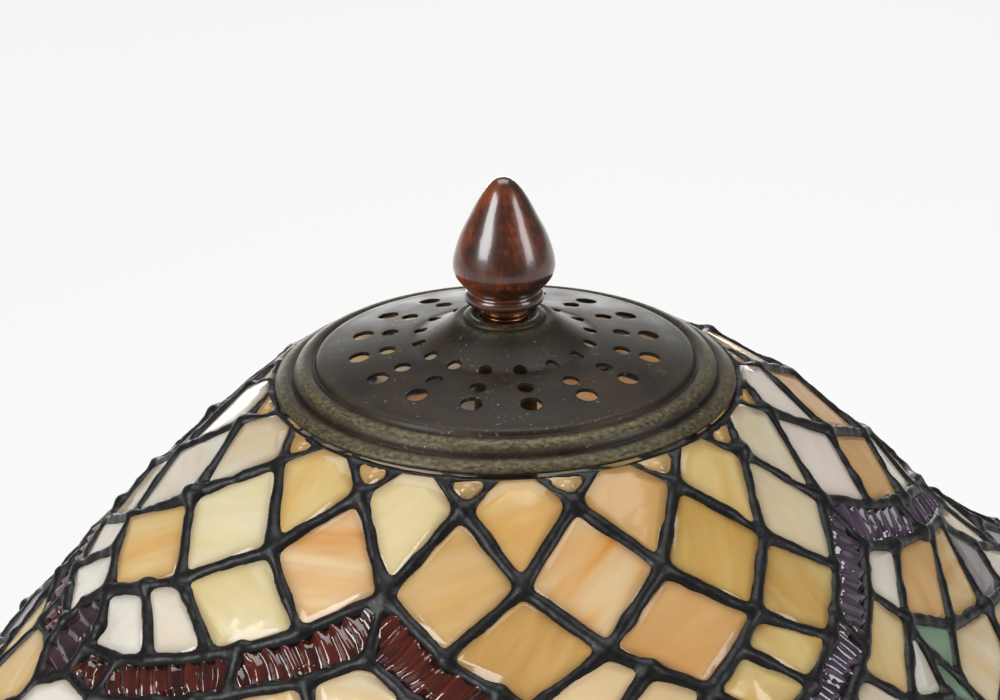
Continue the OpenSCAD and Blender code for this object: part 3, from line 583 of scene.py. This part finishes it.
def make_ripple_tree():
    tree, given = start_tree("ripple", Height=0.0005, Pitch=0.003)
    sheet = read_attribute(tree, "sheet", "FLOAT_VECTOR")
    split = add(tree, "ShaderNodeSeparateXYZ", {0: sheet}).outputs
    wander = add(tree, "ShaderNodeTexNoise", {"Vector": sheet, "Scale": 110.0, "Detail": 1.0}).outputs[0]
    shifted = sum_of(tree, "ADD", split[0], sum_of(tree, "MULTIPLY", wander, 0.0045))
    turns = sum_of(tree, "MULTIPLY", sum_of(tree, "DIVIDE", shifted, given["Pitch"]), math.tau)
    wave = sum_of(tree, "SINE", turns, 0.0)
    height = sum_of(tree, "MULTIPLY", wave, given["Height"])
    masked = sum_of(tree, "MULTIPLY", height, read_attribute(tree, "face", "FLOAT"))
    facing = read_attribute(tree, "facing", "FLOAT_VECTOR")
    push = add(tree, "ShaderNodeVectorMath", {0: facing, "Scale": masked}, operation="SCALE").outputs[0]
    moved = add(tree, "GeometryNodeSetPosition", {"Geometry": given["Geometry"], "Offset": push}).outputs[0]
    smooth = add(tree, "GeometryNodeSetShadeSmooth", {0: moved, "Shade Smooth": True}).outputs[0]
    end_tree(tree, smooth, rippled)
    return tree


ripple_tree = make_ripple_tree()
SLOTS = {"rim_glass": "amber_glass", "lattice_glass": "amber_glass", "shoulder_glass": "white_glass",
         "ribbon_glass": "ripple_glass", "crest_glass": "ripple_glass", "field_glass": "cream_glass",
         "leaf_glass": "green_glass", "petal_glass": "grey_glass", "blossom_glass": "amber_glass",
         "belt_glass": "ripple_glass", "hem_glass": "amber_glass"}
for node in GLASS:
    is_rippled = SLOTS[node] == "ripple_glass"
    cut = glass_object(node, is_rippled)
    if is_rippled:
        run_tree(cut, ripple_tree, Height=0.0006 if node != "crest_glass" else 0.00035, Pitch=0.0037)
    else:
        cut.data.materials.append(streaky)
    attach(cut, "shade")
    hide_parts(node)
    print(cut.name, len(cut.data.polygons), "faces")

# %% [markdown]
# ## Reading the lead lines
# The CAD leading is one solid with a ridge over every line of solder. Its points that are not beside a
# piece of glass are the ridge, and the edges between outer ridge points are the lead lines. Taking them
# from the CAD means that the solder always follows the glass.

# %% Find the joints
def tree_of(points):
    found = KDTree(len(points))
    for i, p in enumerate(points):
        found.insert(p, i)
    found.balance()
    return found


def lead_graph():
    """Joint positions, their outward directions, and the lines between them."""
    glass, sides = [], []
    for node in GLASS:
        for outline, normal in pieces[node]:
            for p in outline:
                glass += [p, p - normal * THICK]
                sides += [(p - normal * THICK / 2, normal)] * 2
    near_glass = tree_of(glass)
    bm = bmesh.new()
    bm.from_mesh(nodes["leading"].data)
    bmesh.ops.remove_doubles(bm, verts=bm.verts, dist=2e-6)
    bm.verts.index_update()
    outer, inner = {}, []
    for v in bm.verts:
        _, i, gap = near_glass.find(v.co)
        if gap < 1 * MM:
            continue
        middle, normal = sides[i]
        if (v.co - middle).dot(normal) > 0:
            outer[v.index] = v.co.copy()
        else:
            inner.append(v.co.copy())
    near_inner = tree_of(inner)
    joints, directions, number = [], [], {}
    for index, p in outer.items():
        pair = min(near_inner.find_range(p, 5.6 * MM), key=lambda hit: abs(hit[2] - 5 * MM), default=None)
        if pair is None or abs(pair[2] - 5 * MM) > 0.05 * MM:
            continue
        number[index] = len(joints)
        out = (p - pair[0]).normalized()
        directions.append(out)
        joints.append(p - out * 2.7 * MM)
    ridges = (e.verts for e in bm.edges if all(v.index in number for v in e.verts))
    lines = [tuple(number[v.index] for v in ends) for ends in ridges]
    bm.free()
    return joints, directions, lines


joints, directions, lines = lead_graph()
print("lead:", len(joints), "joints,", len(lines), "lines")

# %% [markdown]
# ## Geometry Nodes for the solder
# Each line becomes two tubes, an outer and an inner bead, whose thickness and path drift a little. Each
# joint gets a blob, because solder pools where lines meet. Tubes alone would cut through each other with
# hard creases, so a voxel remesh melts them into one skin, which is smoothed and thinned.

# %% Solder tree
def make_solder_tree():
    tree, given = start_tree("solder", Radius=0.0018, Wander=0.0004, Blob=1.15)
    place = add(tree, "GeometryNodeInputPosition").outputs[0]
    drift = add(tree, "ShaderNodeTexNoise", {"Vector": place, "Scale": 90.0, "Detail": 2.0}).outputs[1]
    centred = add(tree, "ShaderNodeVectorMath", {0: drift, 1: (0.5, 0.5, 0.5)}, operation="SUBTRACT").outputs[0]
    # The noise keeps within about a quarter of its middle, so four times it reaches the full wander
    reach = sum_of(tree, "MULTIPLY", given["Wander"], 4.0)
    offset = add(tree, "ShaderNodeVectorMath", {0: centred, "Scale": reach}, operation="SCALE").outputs[0]
    lumps = add(tree, "ShaderNodeTexNoise", {"Vector": place, "Scale": 240.0, "Detail": 2.0}).outputs[0]
    slim = read_attribute(tree, "slim", "FLOAT")
    swell = spread(tree, lumps, 0.84, 1.18)
    radius = sum_of(tree, "MULTIPLY", sum_of(tree, "MULTIPLY", given["Radius"], swell), slim)
    curve = add(tree, "GeometryNodeMeshToCurve", {0: given["Geometry"]}).outputs[0]
    steps = {"Curve": curve, "Length": 1.4 * MM}
    fine = add(tree, "GeometryNodeResampleCurve", steps, mode="LENGTH").outputs[0]
    bent = add(tree, "GeometryNodeSetPosition", {"Geometry": fine, "Offset": offset}).outputs[0]
    sized = add(tree, "GeometryNodeSetCurveRadius", {"Curve": bent, "Radius": radius}).outputs[0]
    ring = add(tree, "GeometryNodeCurvePrimitiveCircle", {"Resolution": 10, "Radius": 1.0}).outputs[0]
    sweep = add(tree, "GeometryNodeCurveToMesh", {"Curve": sized, "Profile Curve": ring, "Fill Caps": True})
    if "Scale" in sweep.inputs:
        tree.links.new(radius, sweep.inputs["Scale"])
    dots = add(tree, "GeometryNodeMeshToPoints", {0: given["Geometry"]}).outputs[0]
    ball = add(tree, "GeometryNodeMeshIcoSphere", {"Radius": 1.0, "Subdivisions": 3}).outputs[0]
    pool = read_attribute(tree, "pool", "FLOAT")
    size = sum_of(tree, "MULTIPLY", sum_of(tree, "MULTIPLY", radius, given["Blob"]), pool)
    moved = add(tree, "GeometryNodeSetPosition", {"Geometry": dots, "Offset": offset}).outputs[0]
    pools = {"Points": moved, "Instance": ball, "Scale": size}
    blobs = add(tree, "GeometryNodeInstanceOnPoints", pools).outputs[0]
    joined = add(tree, "GeometryNodeJoinGeometry")
    tree.links.new(sweep.outputs[0], joined.inputs[0])
    tree.links.new(blobs, joined.inputs[0])
    end_tree(tree, joined.outputs[0], solder)
    return tree


solder_tree = make_solder_tree()


# How far each bead stands out of the glass's middle in millimetres, and its share of the full thickness
BEADS = ((0.75, 1.0), (-0.7, 0.95))
# The lowest and widest solder is kept flush beyond this radius, so that the shade stays inside its box
FLUSH_FROM = 188 * MM
# Down to this drop the solder is right under the cap, and finer
AT_CAP_MM, AT_CAP_SHARE = 1.6, 0.42


def solder_piece(name, keep, voxel_mm, ratio):
    """The lead lines that keep() chooses, as one melted skin."""
    edges, points, slim, pool = [], [], [], []
    for lift_mm, share in BEADS:
        used = {}
        for a, b in lines:
            if not keep((joints[a] + joints[b]) / 2):
                continue
            for i in (a, b):
                if i not in used:
                    used[i] = len(points)
                    at_cap = polar(joints[i])[1] < AT_CAP_MM
                    flush = math.hypot(joints[i].x, joints[i].y) > FLUSH_FROM and lift_mm > 0
                    shift = directions[i] * (0 if flush else lift_mm)
                    if at_cap and lift_mm > 0:
                        out = Vector((joints[i].x, joints[i].y, 0)).normalized()
                        shift = directions[i] * 0.6 + out * 0.75 - Vector((0, 0, 0.6))
                    points.append(joints[i] + shift * MM)
                    slim.append(AT_CAP_SHARE if at_cap else share)
                    pool.append(1.0 if at_cap else random.choice((1.0, 1.05, 1.15, 1.35)))
            edges.append((used[a], used[b]))
    mesh = bpy.data.meshes.new(name)
    mesh.from_pydata(points, edges, [])
    for title, values in (("slim", slim), ("pool", pool)):
        mesh.attributes.new(title, "FLOAT", "POINT").data.foreach_set("value", values)
    made = place_mesh(name, mesh)
    later = [("REMESH", {"mode": "VOXEL", "voxel_size": voxel_mm * MM, "use_smooth_shade": True}),
             ("SMOOTH", {"factor": 0.6, "iterations": 6}),
             ("DECIMATE", {"ratio": ratio})]
    run_tree(made, solder_tree, later, Radius=0.0018, Wander=0.0004, Blob=1.15)
    made.data.materials.clear()
    made.data.materials.append(solder)
    for face in made.data.polygons:
        face.use_smooth = True
    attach(made, "shade")
    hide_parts("leading")
    print(name, len(made.data.polygons), "faces")
    return made


UPPER_DROP = 66


def quarter_of(point):
    """Which quarter of the lower shade a point is in, or None in the upper shade."""
    turn, drop = polar(point)
    return int((turn + 180) // 90) % 4 if drop >= UPPER_DROP else None


solder_piece("solder_upper", lambda p: quarter_of(p) is None, 0.8, 0.5)
for quarter in range(4):
    solder_piece(f"solder_lower_{quarter + 1}", lambda p, q=quarter: quarter_of(p) == q, 1.0, 0.7)

# %% [markdown]
# ## Turned pieces
# A turned piece is a profile swept about its axis. The Screw modifier could do it, but it would not carry a
# wear value for each point. Profiles are a few (radius, height, wear) points with a smooth line run through
# them.

# %% Lathe
def smooth_line(points, steps):
    """A Catmull-Rom line through the points."""
    made = []
    for i in range(len(points) - 1):
        a, b, c, d = (Vector(points[min(max(i + j, 0), len(points) - 1)]) for j in (-1, 0, 1, 2))
        for s in range(steps):
            t = s / steps
            made.append(0.5 * (2 * b + (c - a) * t + (2 * a - 5 * b + 4 * c - d) * t ** 2
                               + (3 * b - a - 3 * c + d) * t ** 3))
    return made + [Vector(points[-1])]


def lathe(name, profile, sides, material, body, replaced, base):
    """A closed profile of (radius, height, wear) in millimetres, turned about Z and moved to its base."""
    points, wear, rings = [], [], []
    for r, z, w in profile:
        count = 1 if r < 1e-4 else sides
        rings.append(list(range(len(points), len(points) + count)))
        for k in range(count):
            a = math.tau * k / sides
            points.append(Vector((r * math.cos(a), r * math.sin(a), z)) * MM)
            wear.append(w)
    faces = []
    closed = rings if len(rings[0]) == 1 else rings + [rings[0]]
    for low, high in zip(closed, closed[1:]):
        for k in range(sides):
            m = (k + 1) % sides
            face = [low[k % len(low)], low[m % len(low)], high[m % len(high)], high[k % len(high)]]
            face = [v for j, v in enumerate(face) if v not in face[:j]]
            if len(face) > 2:
                faces.append(face)
    mesh = bpy.data.meshes.new(name)
    mesh.from_pydata([p + base for p in points], [], faces)
    mesh.attributes.new("wear", "FLOAT", "POINT").data.foreach_set("value", wear)
    bm = bmesh.new()
    bm.from_mesh(mesh)
    bmesh.ops.recalc_face_normals(bm, faces=bm.faces)
    bm.to_mesh(mesh)
    bm.free()
    mesh.materials.append(material)
    for face in mesh.polygons:
        face.use_smooth = True
    made = place_mesh(name, mesh)
    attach(made, body)
    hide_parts(replaced)
    print(name, len(mesh.polygons), "faces")
    return made

# %% [markdown]
# ## The cap
# The cap is spun with two rolled steps, a groove, a low dome and a boss. Wear is high where a roll stands
# proud. Its vents are three rings of round holes. A tree repeats one cutter round each ring and takes it
# from the cap, and a small bevel then softens the cut edges.

# %% Cap profile
def dome(r):
    return 5.7 + (41.7 ** 2 - r * r) / 333


cap_edge = [(49.6, 0.05, 0.2), (50.6, 0.0, 0.3), (51.0, 0.35, 0.6), (51.0, 0.9, 0.8), (50.5, 1.55, 0.9),
            (49.6, 2.1, 0.8), (48.6, 2.35, 0.6), (47.6, 2.25, 0.3), (47.1, 2.1, 0.1), (46.95, 2.5, 0.1),
            (46.7, 3.4, 0.5), (46.0, 4.4, 0.9), (45.0, 5.0, 0.9), (44.0, 5.15, 0.6), (43.1, 5.0, 0.3),
            (42.5, 4.75, 0.1), (42.1, 4.9, 0.1), (41.7, 5.6, 0.35), (41.0, 5.95, 0.3)]
cap_dome = [(r, dome(r), 0.05) for r in (39, 36, 32, 28, 24, 21.5)]
cap_boss = [(19.5, dome(20), 0.1), (17, 10.78, 0.15), (14, 12.47, 0.2), (12, 14.05, 0.3), (11.1, 14.9, 0.6),
            (10.4, 15.1, 0.7), (9.2, 15.05, 0.3), (8.9, 15.5, 0.5), (8.2, 15.8, 0.7), (7.4, 15.8, 0.6),
            (6.8, 15.3, 0.3), (6.3, 15.0, 0.3), (5.3, 15.0, 0.2)]
cap_upper = smooth_line(cap_edge + cap_dome + cap_boss, 4)
cap_under = [(r - 0.15, z - 0.8, 0) for r, z, w in reversed(cap_edge[8:] + cap_dome + cap_boss[:6])]
cap_line = [tuple(p) for p in cap_upper] + [(5.3, 14.2, 0)] + cap_under
cap = lathe("cap_spun", cap_line, 240, cap_bronze, "shade", "cap", Vector((0, 0, RIM_Z)))


# The rings of vents as (ring radius, hole radius) in millimetres, and their turn
VENT_RINGS = ((32.4, 2.4), (26.2, 1.9), (19.15, 1.55))
VENT_TURN = SHADE_TURN + math.radians(7.2 - 90)


def make_vent_tree():
    tree, given = start_tree("vents", Count=16.0, Turn=0.0, Height=0.0)
    whole = given["Geometry"]
    for ring_mm, hole_mm in VENT_RINGS:
        ring = add(tree, "GeometryNodeMeshCircle", {"Radius": ring_mm * MM, "Vertices": 16}).outputs[0]
        tree.links.new(given["Count"], tree.nodes[-1].inputs["Vertices"])
        spin = add(tree, "ShaderNodeCombineXYZ", {2: given["Turn"]}).outputs[0]
        rise = add(tree, "ShaderNodeCombineXYZ", {2: given["Height"]}).outputs[0]
        placed = add(tree, "GeometryNodeTransform", {"Geometry": ring, "Translation": rise, "Rotation": spin})
        cutter = add(tree, "GeometryNodeMeshCylinder", {"Vertices": 28, "Radius": hole_mm * MM, "Depth": 0.03})
        round_ring = {"Points": placed.outputs[0], "Instance": cutter.outputs[0]}
        holes = add(tree, "GeometryNodeInstanceOnPoints", round_ring)
        solid = add(tree, "GeometryNodeRealizeInstances", {0: holes.outputs[0]}).outputs[0]
        cut = add(tree, "GeometryNodeMeshBoolean", operation="DIFFERENCE", solver="EXACT")
        tree.links.new(whole, cut.inputs[0])
        tree.links.new(solid, cut.inputs[1])
        whole = cut.outputs[0]
    end_tree(tree, whole, cap_bronze)
    return tree


run_tree(cap, make_vent_tree(), [("BEVEL", {"width": 0.00018, "segments": 2, "limit_method": "ANGLE",
                                             "angle_limit": math.radians(50)})],
         Count=16.0, Turn=VENT_TURN, Height=RIM_Z + 8 * MM)
print("cap with vents:", len(cap.data.polygons), "faces")

# %% [markdown]
# ## The finial and its thread
# The finial rests a few millimetres above the boss, so turns of the pipe's thread show between them. A
# thread is a path that repeats, so a tree sweeps a small tooth along a spiral.

# %% Finial and thread
FINIAL_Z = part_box("finial")[0].z
finial_collar = [(6.56, 0, 0), (8.1, 0, 0), (8.6, 0.35, 0), (8.7, 1.1, 0), (8.5, 1.9, 0), (8.05, 2.3, 0),
                 (7.95, 2.7, 0)]
finial_body = [(8.3, 3.1, 0), (9.6, 4.6, 0), (10.8, 6.4, 0), (11.2, 8.8, 0), (10.5, 12.2, 0), (9.3, 15.6, 0),
               (7.5, 19.2, 0), (5.7, 22.8, 0), (3.75, 25.9, 0), (1.9, 27.8, 0), (0, 28.4, 0)]
finial_line = [tuple(p) for p in smooth_line(finial_collar + finial_body, 5)]
lathe("finial_turned", [(0, 15, 0), (6.56, 15, 0)] + finial_line, 96, wood, "finial", "finial",
      Vector((0, 0, FINIAL_Z)))


def make_thread_tree():
    tree, given = start_tree("thread", Turns=20.0, Radius=0.0049, Length=0.02, Ridge=0.0003)
    spiral = {"Resolution": 40, "Rotations": given["Turns"], "Start Radius": given["Radius"],
              "End Radius": given["Radius"], "Height": given["Length"]}
    line = add(tree, "GeometryNodeCurveSpiral", spiral).outputs[0]
    tooth = add(tree, "GeometryNodeCurvePrimitiveCircle", {"Resolution": 6, "Radius": 1.0}).outputs[0]
    sized = add(tree, "GeometryNodeSetCurveRadius", {"Curve": line, "Radius": given["Ridge"]}).outputs[0]
    sweep = add(tree, "GeometryNodeCurveToMesh", {"Curve": sized, "Profile Curve": tooth, "Fill Caps": True})
    if "Scale" in sweep.inputs:
        tree.links.new(given["Ridge"], sweep.inputs["Scale"])
    end_tree(tree, sweep.outputs[0], plain["copper_pipe"])
    return tree


thread = place_mesh("pipe_thread", bpy.data.meshes.new("pipe_thread"))
run_tree(thread, make_thread_tree(), Turns=19.0, Radius=0.00478, Length=0.019, Ridge=0.0003)
thread.data.transform(Matrix.Translation((0, 0, FINIAL_Z - 0.0115)))
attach(thread, "lamp")
print("thread:", len(thread.data.polygons), "faces")

# %% [markdown]
# ## The other CAD pieces
# The remaining nodes are turned and pressed parts whose CAD shape is already that of the real ones. They
# keep it and take a finish on the object, so their meshes stay as they are.

# %% Dress the CAD nodes
ON = {"felt_pad": "felt", "foot": "bronze", "cord_bushing": "black_plastic", "weight": "iron",
      "base_washer": "steel", "base_nut": "brass", "stem": "bronze", "hub": "bronze",
      "threaded_pipe": "copper_pipe",
      "spacer_tube": "bronze", "seat_nut": "brass", "seat_washer": "steel", "finial_insert": "brass"}
for side in ("left", "right"):
    for part, finish in (("nipple", "brass"), ("socket_cap", "brass"), ("socket_shell", "brass"),
                         ("socket_liner", "paper"), ("socket_core", "porcelain"), ("screw_shell", "brass"),
                         ("centre_contact", "brass"), ("chain_guide", "brass"), ("pull_chain", "brass"),
                         ("bulb_base", "nickel"), ("bulb_glass", "bulb_glass")):
        ON[f"{part}_{side}"] = finish


def dress(node, material):
    for holder in nodes[node].material_slots:
        holder.link = "OBJECT"
        holder.material = material


for node, finish in ON.items():
    dress(node, plain[finish])
for node, material in (("chain_knob_left", wood), ("chain_knob_right", wood), ("hem_wire", solder)):
    dress(node, material)
print("dressed:", len(ON) + 3, "CAD nodes")

# %% [markdown]
# ## Floor, light and camera
# The lamp stands on a wide, pale floor under large soft lights, so its metal and glass get long quiet
# highlights. Polished pieces look milky if the whole room is bright, so the room's fill is weak and the
# softboxes are strong. The pale wall is there for the eye only and lights nothing.

# %% Stage
def make_floor():
    made, tree, bsdf, place = start_material("pale_floor", Roughness=0.9, Specular_IOR_Level=0.1,
                                             Emission_Strength=0.865)
    tone = ramp(tree, texture(tree, place, 900, 2), (0.3, "#4e4e4d"), (0.7, "#525251"))
    glow = ramp(tree, texture(tree, place, 1500, 1), (0.3, "#fbfbfa"), (0.7, "#ffffff"))
    wire(tree, bsdf, Base_Color=tone, Emission_Color=glow)
    mesh = bpy.data.meshes.new("floor")
    mesh.from_pydata([(-9, -6, 0), (9, -6, 0), (9, 12, 0), (-9, 12, 0)], [], [(0, 1, 2, 3)])
    mesh.materials.append(made)
    floor = place_mesh("floor", mesh)
    floor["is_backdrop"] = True


make_floor()
world = bpy.data.worlds.new("studio")
bpy.context.scene.world = world
world.use_nodes = True
soft_fill = world.node_tree.nodes["Background"]
soft_fill.inputs["Color"].default_value = (1, 1, 1, 1)
soft_fill.inputs["Strength"].default_value = 0.2
room = world.node_tree
pale_wall = add(room, "ShaderNodeBackground", {"Color": (1, 1, 1, 1), "Strength": 0.9})
seen = add(room, "ShaderNodeLightPath").outputs["Is Camera Ray"]
either = add(room, "ShaderNodeMixShader", {0: seen, 1: soft_fill.outputs[0], 2: pale_wall.outputs[0]})
room.links.new(either.outputs[0], room.nodes["World Output"].inputs["Surface"])


def softbox(name, place, aim, width, height, power, spread_degrees=180):
    """A soft light of a size in metres and a power in watts, turned from its place towards its aim."""
    light = bpy.data.lights.new(name, "AREA")
    light.shape, light.size, light.size_y, light.energy = "RECTANGLE", width, height, power
    light.spread = math.radians(spread_degrees)
    made = bpy.data.objects.new(name, light)
    bpy.context.scene.collection.objects.link(made)
    made.location = place
    made.rotation_mode = "QUATERNION"
    made.rotation_quaternion = (Vector(place) - Vector(aim)).to_track_quat("Z", "Y")
    return made


softbox("left_softbox", (-1.7, -1.3, 1.7), (0, 0, 0.5), 1.2, 1.6, 74)
softbox("right_softbox", (1.9, -0.9, 1.4), (0, 0, 0.5), 0.8, 1.4, 29)
softbox("top_softbox", (0.0, 0.6, 2.4), (0, 0, 0.5), 1.8, 1.4, 32)
softbox("back_softbox", (-0.2, 3.0, 0.6), (0, 0, 0.5), 2.4, 0.8, 6, 70)

camera_data = bpy.data.cameras.new("camera")
camera = bpy.data.objects.new("camera", camera_data)
bpy.context.scene.collection.objects.link(camera)
bpy.context.scene.camera = camera
camera_data.sensor_width, camera_data.lens = 36, 99.14
camera_data.shift_x, camera_data.shift_y = -0.00545, 0.02816
camera_data.clip_start, camera_data.clip_end = 0.05, 40
target = Vector((0, 0, RIM_Z))
camera.location = target + Vector((0, -0.5624, 0.2407))
camera.rotation_mode = "QUATERNION"
camera.rotation_quaternion = (camera.location - target).to_track_quat("Z", "Y") @ Quaternion(
    (0, 0, 1), math.radians(-0.69))
bpy.context.scene.view_settings.view_transform = "Standard"

# %% [markdown]
# ## Size
# The finished lamp is measured against the CAD box.

# %% Measure and finish
low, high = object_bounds()
past = [max(cad_low[i] - low[i], high[i] - cad_high[i]) / MM for i in range(3)]
print("past the CAD box by (mm):", [round(p, 3) for p in past])
